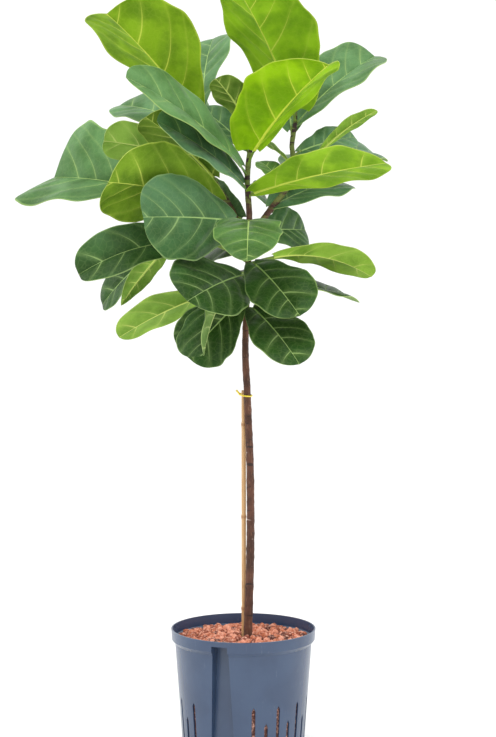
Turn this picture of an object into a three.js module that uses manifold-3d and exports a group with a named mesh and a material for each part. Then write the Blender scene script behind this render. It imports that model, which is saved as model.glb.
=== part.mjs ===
// A fiddle leaf fig (Ficus lyrata) grown as a small standard tree: a bare trunk tied to a bamboo
// cane, a crown on three shoots, and a slotted water-culture pot filled with expanded clay pebbles.
// Millimetres, +Z up, origin at the centre of the pot's base, front at -Y.
import * as THREE from "three";
import { mergeVertices } from "three/addons/utils/BufferGeometryUtils.js";
import Module from "manifold-3d";

const wasm = await Module();
wasm.setup();

// ---------------------------------------------------------------- driving dimensions

const POT = {
  height: 190,
  rimRadius: 110, // outside, at the top edge
  rimDrop: 19, // the height of the wider band at the top
  rimTaper: 1,
  rimStep: 5, // how far that band stands proud of the wall
  rimSlope: 6, // the height of the slope from the wall out to the band
  footRadius: 92,
  footChamfer: 3,
  wall: 2.2,
  floor: 3,
  segments: 48,
};
// The channel for a water gauge: a groove pressed into the wall, wider towards the foot, whose top
// cuts into the band.
const CHANNEL = { turn: 251, backRadius: 83, lean: 0.5, halfWidthTop: 12.5, halfWidthFoot: 19, cutsBand: 11 };
// Water slots: every second one ends lower, in a point. The first and the last keep clear of the
// channel, and their turns are counted from it.
const SLOTS = {
  count: 27,
  first: 28,
  last: 330,
  width: 5.4,
  point: 5.4,
  bottom: 14,
  topLong: 90,
  topShort: 65,
};
const CUT_PAST = 5; // how far a cutter reaches past what it cuts
const FILL = { level: 172, gap: 0.4, pebbles: 44, seed: 7 };
const PEBBLE = {
  radius: 9.8,
  smallest: 0.82, // of that radius
  spread: 0.3, // from the smallest to the largest, of that radius
  flatness: 0.85,
  rise: 0.2, // of its centre above the fill's level, of its radius
  mound: 2, // how much higher the middle of the heap lies
  uneven: 1.2, // how much one pebble lies higher than the next
  fromWall: 1.15, // of the outermost centres, of the radius
};

const SEAT_GAP = 0.35; // between pieces that touch
const CANE = { foot: [0.6, 9.4, 30], head: [0.6, 7.9, 552], radius: 3.5, sides: 10 };
const KNOTS = { shares: [0.36, 0.63, 0.9], halfShare: 0.006, rise: 0.7 };
const TIE = { height: 545, thick: 2.4, clear: 1.1, slack: 0.8, tilt: 1.5, steps: 20, sides: 6 };
const TAIL = { turn: 200, lift: 50, long: 9, twists: 2, swell: 0.35 }; // the tie's twisted ends

// The woody stem: centre lines as [x, y, z], and the radius at the start and the end of each.
const SHOOTS = {
  trunk: {
    line: [
      [6, 0, 95],
      [7, 0, 183],
      [10.5, 0, 300],
      [10.5, 0, 425],
      [6, 0, 545],
      [3, 0, 613],
      [5, 0, 689],
      [8, 0, 764],
      [9, 0, 816],
      [6, 0, 869],
      [9, 0, 905],
      [14, 0, 930],
    ],
    radius: [6.8, 4],
    steps: 24,
    sides: 9,
  },
  left: {
    line: [
      [7, 0, 768],
      [-14, 22, 818],
      [-44, 42, 868],
      [-60, 48, 888],
      [-68, 52, 915],
      [-66, 55, 945],
      [-60, 57, 976],
    ],
    radius: [5, 3.3],
    steps: 11,
    sides: 7,
  },
  right: {
    line: [
      [9, 0, 782],
      [40, 18, 824],
      [70, 38, 866],
      [76, 45, 900],
      [74, 50, 925],
      [78, 52, 950],
      [82, 54, 980],
    ],
    radius: [5, 3.3],
    steps: 11,
    sides: 7,
  },
};
const BUD = { length: 24, tip: 0.15 }; // a shoot narrows over this length, to this share

const BLADE = { thick: 0.9, rib: 2, rows: 8, columns: 4, rowLean: 0.85, rowEase: 0.55 };
// A stalk is thickest at its joint, and runs on under the blade over a share of its length.
const STALK = { radii: [2.8, 2.3, 2.1, 1.6], sides: 5, meets: 0.05, bend: 0.45, steepest: 75 };

// Each leaf: the shoot it grows on, the height of its joint there, the compass turn (0 is +X,
// 90 the back, 270 the front) and lift of its blade in degrees, its stalk, length and width in mm,
// and its roll in degrees: 0 holds the upper face up, more turns that face to the leaf's right.
// Then what differs from a plain leaf, from the list in PLAIN.
const PLAIN = {
  fold: 14, // degrees that each half rises towards the upper face
  arch: 0.05, // height of the midrib's arch, as a share of the length
  cup: -0.1, // how far the margins bend on, as a share of the half width
  wave: 0.05, // height of the edge's waves, as a share of the half width
  phase: 0, // where along the edge the waves start, in turns
  curl: 0, // how far the tip hangs, as a share of the length
  skew: 0, // how far one half is drawn towards the tip and the other back, the same way
  notch: 0, // how far both halves reach out beyond the midrib's end, the same way
  belly: 0.8, // how narrow the blade starts: the more, the nearer to the tip it is widest
  taper: 0.45, // how narrow it ends: the more, the more pointed its tip
  stalkTurn: null, // the stalk's own direction where it isn't the blade's
  stalkRise: 25, // degrees that the stalk rises above the blade's lift
};
// What all leaves share. Places along the blade are shares of its length.
const FORM = {
  start: 0.03, // of the outline's curve: so the blade starts with some width
  waist: { at: 0.3, reach: 0.12, depth: 0.1 }, // the fiddle's narrowing
  lobe: { reach: 0.12, depth: 0.05 }, // how far the base's two lobes hang back
  notchReach: 0.25,
  curlFrom: 0.55,
  waves: 2.6,
};
const LEAVES = {
  left_leaf_1: ["left", 944, 224, 39, 24, 222, 174, 14, { fold: 25, belly: 0.95, notch: 0.05 }],
  left_leaf_2: ["left", 962, 84, 44, 20, 176, 88, -22, { belly: 1.2 }],
  left_leaf_3: ["left", 952, 110, 38, 16, 100, 62, 30, {}],
  left_leaf_4: ["left", 940, 139, 15, 20, 163, 100, -28, {}],
  left_leaf_5: ["left", 890, 184, 12, 18, 140, 76, 50, { phase: 0.3, belly: 1.2, notch: 0.04 }],
  left_leaf_6: ["left", 858, 212, 36, 20, 144, 96, 28, {}],
  left_leaf_7: ["left", 816, 222, 7, 34, 208, 144, 52, { fold: 15, stalkTurn: 210 }],
  left_leaf_8: [
    "left", 858, 146, 8, 92, 212, 180, -54,
    { fold: 30, taper: 0.18, belly: 0.9, skew: -0.1, stalkTurn: 172, stalkRise: -12 },
  ],
  left_leaf_9: ["left", 880, 96, 28, 30, 145, 90, 0, {}],
  right_leaf_1: ["right", 958, 240, 44, 22, 222, 156, 3, { fold: 28, belly: 0.55 }],
  right_leaf_2: ["right", 944, 32, 37, 18, 180, 126, 20, { fold: 22, taper: 0.3, skew: -0.06 }],
  right_leaf_3: ["right", 900, 330, 31, 50, 108, 34, -18, { phase: 0.4, stalkRise: -14 }],
  right_leaf_4: ["right", 905, 35, 14, 14, 112, 54, 48, {}],
  right_leaf_5: ["right", 890, 136, 30, 8, 62, 38, 30, {}],
  right_leaf_6: ["right", 892, 40, 4, 18, 164, 104, 26, { arch: 0.1 }],
  right_leaf_7: ["right", 855, 134, 37, 8, 64, 42, -12, {}],
  right_leaf_8: ["right", 822, 44, 15, 12, 158, 112, 20, {}],
  right_leaf_9: ["right", 930, 95, 34, 22, 150, 90, 0, {}],
  right_leaf_10: ["right", 862, 72, 14, 24, 160, 92, 0, {}],
  trunk_leaf_1: [
    "trunk", 888, 309, 34, 27, 202, 142, -11,
    { fold: 38, belly: 0.6, taper: 0.62, skew: -0.08 },
  ],
  trunk_leaf_2: ["trunk", 922, 206, 50, 38, 76, 60, 30, {}],
  trunk_leaf_3: ["trunk", 872, 220, 29, 21, 242, 108, -49, { fold: 18 }],
  trunk_leaf_4: ["trunk", 849, 217, 29, 17, 176, 98, -51, { fold: 18 }],
  trunk_leaf_5: ["trunk", 842, 324, 9, 14, 232, 112, -22, { arch: 0.025 }],
  trunk_leaf_6: ["trunk", 839, 75, -12, 22, 118, 72, 53, { stalkRise: 46 }],
  trunk_leaf_7: [
    "trunk", 798, 269, -22, 44, 161, 104, 0,
    { fold: 8, belly: 0.35, taper: 0.6, stalkRise: 34 },
  ],
  trunk_leaf_8: ["trunk", 793, 218, 1, 32, 164, 132, -74, { fold: 6, notch: 0.06 }],
  trunk_leaf_9: ["trunk", 780, 40, 2, 26, 90, 76, 62, {}],
  trunk_leaf_10: [
    "trunk", 764, 203, -13, 74, 196, 84, -52,
    { fold: 26, arch: 0.06, curl: 0.1, taper: 0.36, stalkTurn: 174, stalkRise: 28 },
  ],
  trunk_leaf_11: [
    "trunk", 742, 32, -8, 40, 184, 76, -25,
    { arch: 0.08, curl: 0.03, belly: 0.6, taper: 0.38, stalkTurn: 8 },
  ],
  trunk_leaf_12: [
    "trunk", 752, 166, -50, 134, 104, 38, 60,
    { fold: 20, curl: 0.06, belly: 0.5, taper: 0.8, stalkTurn: 168, stalkRise: 54 },
  ],
  trunk_leaf_13: ["trunk", 738, 299, -29, 18, 156, 100, 23, { stalkRise: 50 }],
  trunk_leaf_14: ["trunk", 716, 237, -14, 18, 146, 126, -39, { stalkRise: 45, taper: 0.38 }],
  trunk_leaf_15: [
    "trunk", 746, 152, -40, 158, 130, 62, -60,
    { taper: 0.34, stalkTurn: 154, stalkRise: 46 },
  ],
  trunk_leaf_16: ["trunk", 696, 37, -8, 36, 170, 95, 17, { stalkTurn: 20, stalkRise: 30 }],
  trunk_leaf_17: ["trunk", 696, 168, -24, 34, 184, 84, 30, { stalkTurn: 165, stalkRise: 40 }],
  trunk_leaf_18: [
    "trunk", 688, 248, -48, 41, 127, 102, 42,
    { fold: 40, taper: 0.36, stalkTurn: 217, stalkRise: 72 },
  ],
  trunk_leaf_19: [
    "trunk", 684, 190, -46, 16, 116, 94, -76,
    { fold: 10, taper: 0.38, stalkTurn: 232, stalkRise: 62 },
  ],
  trunk_leaf_20: ["trunk", 669, 300, -30, 20, 156, 88, 18, { stalkRise: 55 }],
  trunk_leaf_21: ["trunk", 904, 158, 40, 14, 94, 54, -40, {}],
  trunk_leaf_22: ["trunk", 705, 75, -14, 30, 165, 100, 0, {}],
  trunk_leaf_23: ["trunk", 722, 104, -10, 34, 150, 96, 0, {}],
  trunk_leaf_24: ["trunk", 752, 112, 1, 34, 150, 92, -56, {}],
  trunk_leaf_25: ["trunk", 796, 132, 14, 24, 140, 92, -50, {}],
};

// ---------------------------------------------------------------- helpers

const radians = THREE.MathUtils.degToRad;
const lerp = THREE.MathUtils.lerp;

function vec(x, y, z) {
  return new THREE.Vector3(x, y, z);
}

// A direction from a compass turn and a lift above the horizontal, in degrees.
function direction(turn, lift) {
  const flat = Math.cos(radians(lift));
  return vec(flat * Math.cos(radians(turn)), flat * Math.sin(radians(turn)), Math.sin(radians(lift)));
}

// The same numbers between 0 and 1 on every run.
function seededRandom(seed) {
  let state = seed;
  return () => {
    state = (state * 1664525 + 1013904223) % 4294967296;
    return state / 4294967296;
  };
}

function solidOf(geometry) {
  const plain = geometry.clone();
  plain.deleteAttribute("normal");
  plain.deleteAttribute("uv");
  const merged = mergeVertices(plain, 1e-3);
  const triVerts = new Uint32Array(merged.index.array);
  const vertProperties = merged.attributes.position.array;
  return new wasm.Manifold(new wasm.Mesh({ numProp: 3, vertProperties, triVerts }));
}

function geometryOf(solid) {
  const mesh = solid.getMesh();
  const positions = new THREE.BufferAttribute(mesh.vertProperties, 3);
  const geometry = new THREE.BufferGeometry().setAttribute("position", positions);
  geometry.setIndex(new THREE.BufferAttribute(mesh.triVerts, 1));
  geometry.computeVertexNormals();
  return geometry;
}

function geometryFrom(points, triangles) {
  const geometry = new THREE.BufferGeometry().setFromPoints(points);
  geometry.setIndex(triangles);
  return geometry;
}

// A closed round bar along a list of points, with a radius at each.
function bar(points, radii, sides) {
  const rings = [];
  let across = vec(1, 0, 0);
  points.forEach((point, i) => {
    const before = points[Math.max(i - 1, 0)];
    const after = points[Math.min(i + 1, points.length - 1)];
    const along = after.clone().sub(before).normalize();
    across = across.clone().addScaledVector(along, -across.dot(along)).normalize();
    const other = along.clone().cross(across);
    for (let k = 0; k < sides; k++) {
      const angle = (2 * Math.PI * k) / sides;
      const spot = point.clone().addScaledVector(across, radii[i] * Math.cos(angle));
      rings.push(spot.addScaledVector(other, radii[i] * Math.sin(angle)));
    }
  });
  const triangles = [];
  for (let i = 0; i < points.length - 1; i++)
    for (let k = 0; k < sides; k++) {
      const a = i * sides + k;
      const b = i * sides + ((k + 1) % sides);
      triangles.push(a, b, b + sides, a, b + sides, a + sides);
    }
  const first = rings.length;
  const last = (points.length - 1) * sides;
  rings.push(points[0], points[points.length - 1]);
  for (let k = 0; k < sides; k++) {
    const next = (k + 1) % sides;
    triangles.push(first, next, k, first + 1, last + k, last + next);
  }
  return geometryFrom(rings, triangles);
}

// ---------------------------------------------------------------- pot and fill

// A solid of revolution about Z from [radius, z] pairs that start and end on the axis.
function turned(profile, segments = POT.segments) {
  const points = profile.map(([radius, z]) => new THREE.Vector2(radius, z));
  return solidOf(new THREE.LatheGeometry(points, segments).rotateX(Math.PI / 2));
}

const bandRadius = POT.rimRadius - POT.rimTaper; // outside, at the band's lower edge
const bandFoot = POT.height - POT.rimDrop; // the middle of the slope under the band
const bodyRadius = bandRadius - POT.rimStep; // outside, just under the band

// The pot's outside shape, drawn in by a distance all round, from a floor height up to a top.
function potProfile(inset, floorZ, topZ) {
  const chamfer = POT.footChamfer;
  const slopeZ = bandFoot + inset * Math.tan(Math.atan2(POT.rimStep, POT.rimSlope) / 2);
  const slopeFoot = slopeZ - POT.rimSlope / 2;
  const rim = lerp(bandRadius, POT.rimRadius, (topZ - bandFoot) / POT.rimDrop);
  const foot = [
    [0, floorZ],
    [POT.footRadius - chamfer - inset, floorZ],
    [POT.footRadius - inset, floorZ + chamfer],
  ];
  const climb = (topZ - slopeFoot) / POT.rimSlope;
  const wall = [...foot, [bodyRadius - inset, slopeFoot]];
  if (climb < 1) return [...wall, [lerp(bodyRadius, bandRadius, climb) - inset, topZ], [0, topZ]];
  return [...wall, [bandRadius - inset, slopeFoot + POT.rimSlope], [rim - inset, topZ], [0, topZ]];
}

// The gauge channel's groove as a solid, grown by a distance all round.
function channelSolid(grow) {
  const lean = radians(CHANNEL.lean);
  const topZ = bandFoot + CHANNEL.cutsBand + grow;
  const top = topZ / Math.cos(lean) + CHANNEL.backRadius * Math.tan(lean);
  const foot = -CUT_PAST;
  const depth = POT.rimRadius - CHANNEL.backRadius + CUT_PAST + grow;
  const half = (z) => lerp(CHANNEL.halfWidthFoot, CHANNEL.halfWidthTop, z / bandFoot) + grow;
  const outline = new THREE.Shape([
    new THREE.Vector2(-half(foot), foot),
    new THREE.Vector2(half(foot), foot),
    new THREE.Vector2(half(top), top),
    new THREE.Vector2(-half(top), top),
  ]);
  const groove = new THREE.ExtrudeGeometry(outline, { depth, bevelEnabled: false });
  groove.rotateX(Math.PI / 2).rotateZ(Math.PI); // its depth now runs along +Y, width along X
  groove.translate(0, CHANNEL.backRadius - grow, 0);
  groove.rotateX(-lean);
  return solidOf(groove.rotateZ(radians(CHANNEL.turn - 90)));
}

function slotCutters() {
  const depth = POT.rimRadius - CHANNEL.backRadius + CUT_PAST;
  return Array.from({ length: SLOTS.count }, (_, i) => {
    const turn = CHANNEL.turn + lerp(SLOTS.first, SLOTS.last, i / (SLOTS.count - 1));
    const top = i % 2 ? SLOTS.topShort : SLOTS.topLong;
    const half = SLOTS.width / 2;
    const shape = new THREE.Shape([
      new THREE.Vector2(-half, SLOTS.bottom),
      new THREE.Vector2(half, SLOTS.bottom),
      new THREE.Vector2(half, top - SLOTS.point),
      new THREE.Vector2(0, top),
      new THREE.Vector2(-half, top - SLOTS.point),
    ]);
    const cutter = new THREE.ExtrudeGeometry(shape, { depth, bevelEnabled: false });
    cutter.rotateX(Math.PI / 2).translate(0, depth - POT.rimRadius, 0);
    return solidOf(cutter.rotateZ(radians(turn + 90)));
  });
}

function potSolid() {
  const shell = turned(potProfile(0, 0, POT.height)).subtract(channelSolid(0));
  const hollow = turned(potProfile(POT.wall, POT.floor, POT.height + CUT_PAST));
  const inside = hollow.subtract(channelSolid(POT.wall));
  return slotCutters().reduce((pot, cutter) => pot.subtract(cutter), shell.subtract(inside));
}

// The pebbles as one body: a filling, with pebbles standing out of its top.
function fillSolid(stemHole, caneHole) {
  const gap = POT.wall + FILL.gap;
  const random = seededRandom(FILL.seed);
  const floorZ = POT.floor + FILL.gap;
  let fill = turned(potProfile(gap, floorZ, FILL.level));
  const room = bandRadius - gap - PEBBLE.fromWall * PEBBLE.radius;
  const goldenTurn = Math.PI * (3 - Math.sqrt(5));
  for (let i = 0; i < FILL.pebbles; i++) {
    const spread = Math.sqrt((i + 0.5) / FILL.pebbles);
    const turn = i * goldenTurn;
    const size = PEBBLE.radius * (PEBBLE.smallest + PEBBLE.spread * random());
    const pebble = new THREE.IcosahedronGeometry(size, 0);
    pebble.rotateX(Math.PI * random()).rotateZ(Math.PI * random()).scale(1, 1, PEBBLE.flatness);
    const radius = room * spread;
    const rise = size * PEBBLE.rise + PEBBLE.mound * (1 - spread) + PEBBLE.uneven * random();
    pebble.translate(radius * Math.cos(turn), radius * Math.sin(turn), FILL.level + rise);
    fill = fill.add(solidOf(pebble));
  }
  fill = fill.intersect(turned(potProfile(gap, floorZ, POT.height)));
  return fill.subtract(channelSolid(gap)).subtract(stemHole).subtract(caneHole);
}

// ---------------------------------------------------------------- stem, cane and tie

const shootCurves = {};
for (const [name, shoot] of Object.entries(SHOOTS))
  shootCurves[name] = new THREE.CatmullRomCurve3(shoot.line.map((spot) => vec(...spot)));

function shootSolid(name, grow) {
  const shoot = SHOOTS[name];
  const points = shootCurves[name].getSpacedPoints(shoot.steps);
  const length = shootCurves[name].getLength();
  const radii = points.map((_, i) => {
    const share = i / shoot.steps;
    const left = (1 - share) * length;
    const bud = Math.min(1, lerp(BUD.tip, 1, left / BUD.length));
    return lerp(shoot.radius[0], shoot.radius[1], share) * bud + grow;
  });
  return solidOf(bar(points, radii, shoot.sides));
}

function stemSolid(grow) {
  return Object.keys(SHOOTS)
    .map((name) => shootSolid(name, grow))
    .reduce((whole, shoot) => whole.add(shoot));
}

function caneLine() {
  return [vec(...CANE.foot), vec(...CANE.head)];
}

function caneSolid(grow) {
  const [foot, head] = caneLine();
  const { shares: knots, halfShare, rise } = KNOTS;
  const shares = [0, ...knots.flatMap((knot) => [knot - halfShare, knot, knot + halfShare]), 1];
  const points = shares.map((share) => foot.clone().lerp(head, share));
  const radii = shares.map((share) => CANE.radius + grow + (knots.includes(share) ? rise : 0));
  return solidOf(bar(points, radii, CANE.sides));
}

// The tie: a plastic wire looped once round trunk and cane, its two ends twisted together.
function tieSolid() {
  const share = shareAt("trunk", TIE.height);
  const trunkSpot = shootCurves.trunk.getPointAt(share);
  const trunkRadius = lerp(...SHOOTS.trunk.radius, share);
  const [foot, head] = caneLine();
  const caneSpot = foot.clone().lerp(head, (TIE.height - foot.z) / (head.z - foot.z));
  const middle = trunkSpot.clone().lerp(caneSpot, 0.5);
  const apart = trunkSpot.distanceTo(caneSpot);
  const turn = Math.atan2(caneSpot.y - trunkSpot.y, caneSpot.x - trunkSpot.x);
  const half = TIE.thick / 2;
  const long = (apart + trunkRadius + CANE.radius) / 2 + TIE.clear + half;
  const wide = trunkRadius + TIE.clear + TIE.slack + half;
  const loop = (angle, out, rise) => {
    const spot = vec((long + out) * Math.cos(angle), (wide + out) * Math.sin(angle), 0);
    spot.z = rise + TIE.tilt * Math.cos(angle);
    return spot.applyAxisAngle(vec(0, 0, 1), turn).add(middle);
  };
  const rings = [];
  const triangles = [];
  for (let i = 0; i < TIE.steps; i++) {
    for (let k = 0; k < TIE.sides; k++) {
      const round = (2 * Math.PI * k) / TIE.sides;
      const angle = (2 * Math.PI * i) / TIE.steps;
      rings.push(loop(angle, half * Math.cos(round), half * Math.sin(round)));
      const a = i * TIE.sides + k;
      const b = i * TIE.sides + ((k + 1) % TIE.sides);
      const c = ((i + 1) % TIE.steps) * TIE.sides + ((k + 1) % TIE.sides);
      const d = ((i + 1) % TIE.steps) * TIE.sides + k;
      triangles.push(a, d, c, a, c, b);
    }
  }
  const start = loop(radians(TAIL.turn) - turn, 0, 0);
  const way = direction(TAIL.turn, TAIL.lift);
  const steps = 2 * TAIL.twists;
  const spots = Array.from({ length: steps + 1 }, (_, i) => {
    return start.clone().addScaledVector(way, (TAIL.long * i) / steps);
  });
  const radii = spots.map((_, i) => half * (1 + (i % 2 ? TAIL.swell : 0)));
  const tail = solidOf(bar(spots, radii, TIE.sides));
  return solidOf(geometryFrom(rings, triangles)).add(tail);
}

// ---------------------------------------------------------------- leaves

// The share of a shoot's length at which it reaches a height.
function shareAt(shootName, height) {
  const curve = shootCurves[shootName];
  let low = 0;
  let high = 1;
  for (let i = 0; i < 24; i++) {
    const middle = (low + high) / 2;
    if (curve.getPointAt(middle).z < height) low = middle;
    else high = middle;
  }
  return low;
}

// Half the blade's width at a share of its length, as a share of its greatest half width.
function outline(share, belly, taper) {
  const raise = (s) => Math.pow(s, belly) * Math.pow(1 - s, taper);
  const peak = raise(belly / (belly + taper));
  const { at, reach, depth } = FORM.waist;
  const waist = 1 - depth * Math.exp(-(((share - at) / reach) ** 2));
  return (raise(lerp(FORM.start, 1, share)) / peak) * waist;
}

// The frame of a leaf: where its joint and blade start, and the functions that shape the blade.
function leafFrame(row) {
  const [shoot, height, turn, lift, stalk, long, wide, roll, extra] = row;
  const leaf = { ...PLAIN, ...extra, stalk, long, wide };
  const joint = shootCurves[shoot].getPointAt(shareAt(shoot, height));
  const stalkLift = Math.min(lift + leaf.stalkRise, STALK.steepest);
  const stalkWay = direction(leaf.stalkTurn ?? turn, stalkLift);
  const base = joint.clone().addScaledVector(stalkWay, stalk);
  const along = direction(turn, lift);
  const upper = vec(0, 0, 1).addScaledVector(along, -along.z).normalize();
  const right = along.clone().cross(upper);
  const bow = upper.multiplyScalar(Math.cos(radians(roll))).addScaledVector(right, Math.sin(radians(roll)));
  const rib = (share) => {
    const rise = 4 * share * (1 - share) * long;
    const bent = Math.max(0, (share - FORM.curlFrom) / (1 - FORM.curlFrom));
    const hang = leaf.curl * long * bent ** 2;
    return base
      .clone()
      .addScaledVector(along, share * long)
      .addScaledVector(bow, leaf.arch * rise - hang);
  };
  // A point of the blade's middle sheet: share runs from base to tip, across from -1 to 1.
  const sheet = (share, across) => {
    const tangent = rib(Math.min(share + 0.01, 1)).sub(rib(Math.max(share - 0.01, 0))).normalize();
    const face = bow.clone().addScaledVector(tangent, -bow.dot(tangent)).normalize();
    const out = tangent.clone().cross(face);
    const half = (leaf.wide / 2) * outline(share, leaf.belly, leaf.taper) * (share < 1 ? 1 : 0);
    const sign = Math.sign(across);
    const far = Math.abs(across);
    const flat = Math.cos(radians(leaf.fold));
    const steep = Math.sin(radians(leaf.fold));
    const place = FORM.waves * share + leaf.phase + sign / 4; // in turns of the edge's wave
    const edge = leaf.cup + leaf.wave * Math.sin(2 * Math.PI * place);
    const lobe = FORM.lobe.depth * leaf.long * far * far * Math.exp(-((share / FORM.lobe.reach) ** 2));
    const shoulder = leaf.notch * far * Math.exp(-(((1 - share) / FORM.notchReach) ** 2));
    const drawn = (leaf.long * (leaf.skew * across + shoulder) * half) / (leaf.wide / 2);
    return rib(share)
      .addScaledVector(tangent, drawn - lobe)
      .addScaledVector(out, half * (across * flat - sign * edge * far * far * steep))
      .addScaledVector(face, half * (far * steep + edge * far * far * flat));
  };
  return { leaf, joint, base, rib, sheet };
}

// The shares of the length at which the blade has its rows, closer towards both ends.
function rowShare(i, rows) {
  const even = Math.pow(i / rows, BLADE.rowLean);
  return lerp(even, (1 - Math.cos(Math.PI * even)) / 2, BLADE.rowEase);
}

function bladeSolid(frame) {
  const { sheet } = frame;
  const { rows, columns } = BLADE;
  const tops = [];
  const bottoms = [];
  const step = 0.004;
  const put = (share, across) => {
    const spot = sheet(share, across);
    const inside = Math.min(share, 1 - 2 * step);
    const ahead = sheet(inside + step, across).sub(sheet(inside, across));
    const beside = sheet(inside, Math.min(across + 0.05, 1)).sub(sheet(inside, Math.max(across - 0.05, -1)));
    const normal = beside.cross(ahead).normalize();
    const ribDepth = across === 0 ? BLADE.rib * (1 - share) : 0;
    tops.push(spot.clone().addScaledVector(normal, BLADE.thick / 2));
    bottoms.push(spot.clone().addScaledVector(normal, -BLADE.thick / 2 - ribDepth));
  };
  for (let i = 0; i < rows; i++)
    for (let k = 0; k <= columns; k++) put(rowShare(i, rows), (2 * k) / columns - 1);
  put(1, 0);
  const wide = columns + 1;
  const tip = rows * wide;
  const faces = [];
  for (let i = 0; i < rows - 1; i++)
    for (let k = 0; k < columns; k++) {
      const a = i * wide + k;
      if (k < columns / 2) faces.push([a, a + 1, a + wide + 1], [a, a + wide + 1, a + wide]);
      else faces.push([a, a + 1, a + wide], [a + 1, a + wide + 1, a + wide]);
    }
  for (let k = 0; k < columns; k++) faces.push([tip - wide + k, tip - wide + k + 1, tip]);
  const rim = [];
  for (let k = 0; k < columns; k++) rim.push(k);
  for (let i = 0; i < rows - 1; i++) rim.push(i * wide + columns);
  rim.push(tip - 1, tip);
  for (let i = rows - 1; i > 0; i--) rim.push(i * wide);
  const points = [...tops, ...bottoms];
  const under = tops.length;
  const triangles = [];
  for (const [a, b, c] of faces) triangles.push(a, b, c, under + a, under + c, under + b);
  rim.forEach((a, i) => {
    const b = rim[(i + 1) % rim.length];
    triangles.push(a, under + a, under + b, a, under + b, b);
  });
  return solidOf(geometryFrom(points, triangles));
}

function stalkSolid(frame) {
  const { joint, base, rib, leaf } = frame;
  const end = rib(STALK.meets);
  const bend = base.clone().addScaledVector(end.clone().sub(base).normalize(), -leaf.stalk * STALK.bend);
  const points = new THREE.QuadraticBezierCurve3(joint, bend, end).getPoints(STALK.radii.length - 1);
  return solidOf(bar(points, STALK.radii, STALK.sides));
}

function leafSolid(row, clearance) {
  const frame = leafFrame(row);
  const whole = bladeSolid(frame).add(stalkSolid(frame)).subtract(clearance);
  return whole.decompose().sort((a, b) => b.volume() - a.volume())[0];
}

// ---------------------------------------------------------------- the assembly

const COLOURS = {
  pot: { color: 0x5c6c86, roughness: 0.55, metalness: 0 },
  pebbles: { color: 0xc87a56, roughness: 0.95, metalness: 0 },
  bark: { color: 0x5b4238, roughness: 0.85, metalness: 0 },
  cane: { color: 0xd0a26c, roughness: 0.6, metalness: 0 },
  tie: { color: 0xe0c95a, roughness: 0.5, metalness: 0 },
  leaf: { color: 0x3f7a45, roughness: 0.4, metalness: 0 },
};

const plant = new THREE.Group();

function place(name, solid, colour) {
  const mesh = new THREE.Mesh(geometryOf(solid), new THREE.MeshStandardMaterial(COLOURS[colour]));
  mesh.name = name;
  plant.add(mesh);
}

place("pot", potSolid(), "pot");
place("pebbles", fillSolid(stemSolid(SEAT_GAP), caneSolid(SEAT_GAP)), "pebbles");
place("stem", stemSolid(0), "bark");
place("cane", caneSolid(0).subtract(stemSolid(SEAT_GAP)), "cane");
place("tie", tieSolid(), "tie");
const clearance = stemSolid(SEAT_GAP);
for (const [name, row] of Object.entries(LEAVES)) place(name, leafSolid(row, clearance), "leaf");

export default plant;
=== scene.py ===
import math
from random import Random

import bmesh
import bpy
from mathutils import Matrix, Vector, noise


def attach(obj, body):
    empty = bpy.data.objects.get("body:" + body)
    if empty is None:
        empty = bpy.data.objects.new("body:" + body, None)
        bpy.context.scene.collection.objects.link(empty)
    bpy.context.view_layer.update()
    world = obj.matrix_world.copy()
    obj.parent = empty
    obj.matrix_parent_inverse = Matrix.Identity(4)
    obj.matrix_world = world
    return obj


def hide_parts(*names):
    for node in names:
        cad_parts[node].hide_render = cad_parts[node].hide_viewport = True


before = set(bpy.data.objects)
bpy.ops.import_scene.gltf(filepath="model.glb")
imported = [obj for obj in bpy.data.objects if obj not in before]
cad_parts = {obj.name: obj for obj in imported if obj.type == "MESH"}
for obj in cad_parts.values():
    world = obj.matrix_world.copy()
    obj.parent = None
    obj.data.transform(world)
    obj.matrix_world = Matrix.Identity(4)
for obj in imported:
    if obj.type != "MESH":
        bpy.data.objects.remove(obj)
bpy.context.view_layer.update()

# ---------------------------------------------------------------- pot
# An inner pot for water culture, injection-moulded in one piece in blue-grey polypropylene. The
# band at the rim stands proud of the wall, a groove for the water gauge is pressed into the wall,
# and the slots round the foot let the water in.
MM = 0.001
POT_HEIGHT = 190
RIM_RADIUS = 110
BAND_FOOT = 171
SLOPE_FOOT = 168
SLOPE_HEIGHT = 6
BAND_RADIUS = 109
BODY_RADIUS = 104
FOOT_RADIUS = 92
FLOOR_RADII = (0, 30, 60)
FOOT_CHAMFER = 3
POT_WALL = 2.2
EDGE_ROUNDING = 0.4
GROOVE_TURN = 251
GROOVE_LEAN = math.radians(0.5)
GROOVE_TOP = 182
GROOVE_BACK = 83 / math.cos(GROOVE_LEAN)
GROOVE_HALF_FOOT = 19
GROOVE_HALF_TOP = 12.5
GROOVE_DRAFT = 0.8
BACK_COLUMNS = (-1, -0.6, -0.2, 0.2, 0.6, 1)
BESIDE_GROOVE = (14.5, 19, 23.5)
WALL_ROWS = (9, 25, 36, 48, 66, 75, 92, 104, 118, 132, 146, 160)
BAND_ROWS = ((109.3, 178), (109.5, GROOVE_TOP), (109.5, GROOVE_TOP + 0.3), (109.8, 186))
SLOT_COUNT = 27
SLOT_FIRST = 30
SLOT_LAST = 332
SLOT_WIDTH = 5.4
SLOT_RADIUS = 95
SLOT_FOOT = 14
SLOT_STRAIGHTS = (84.6, 59.6)
SLOT_POINT = 5.4
BETWEEN_SLOTS = 5


def linear(hex_colour):
    """An sRGB hex value as the linear colour that a shader takes."""
    parts = [int(hex_colour[i : i + 2], 16) / 255 for i in (1, 3, 5)]
    return [c / 12.92 if c <= 0.04045 else ((c + 0.055) / 1.055) ** 2.4 for c in parts] + [1.0]


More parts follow.
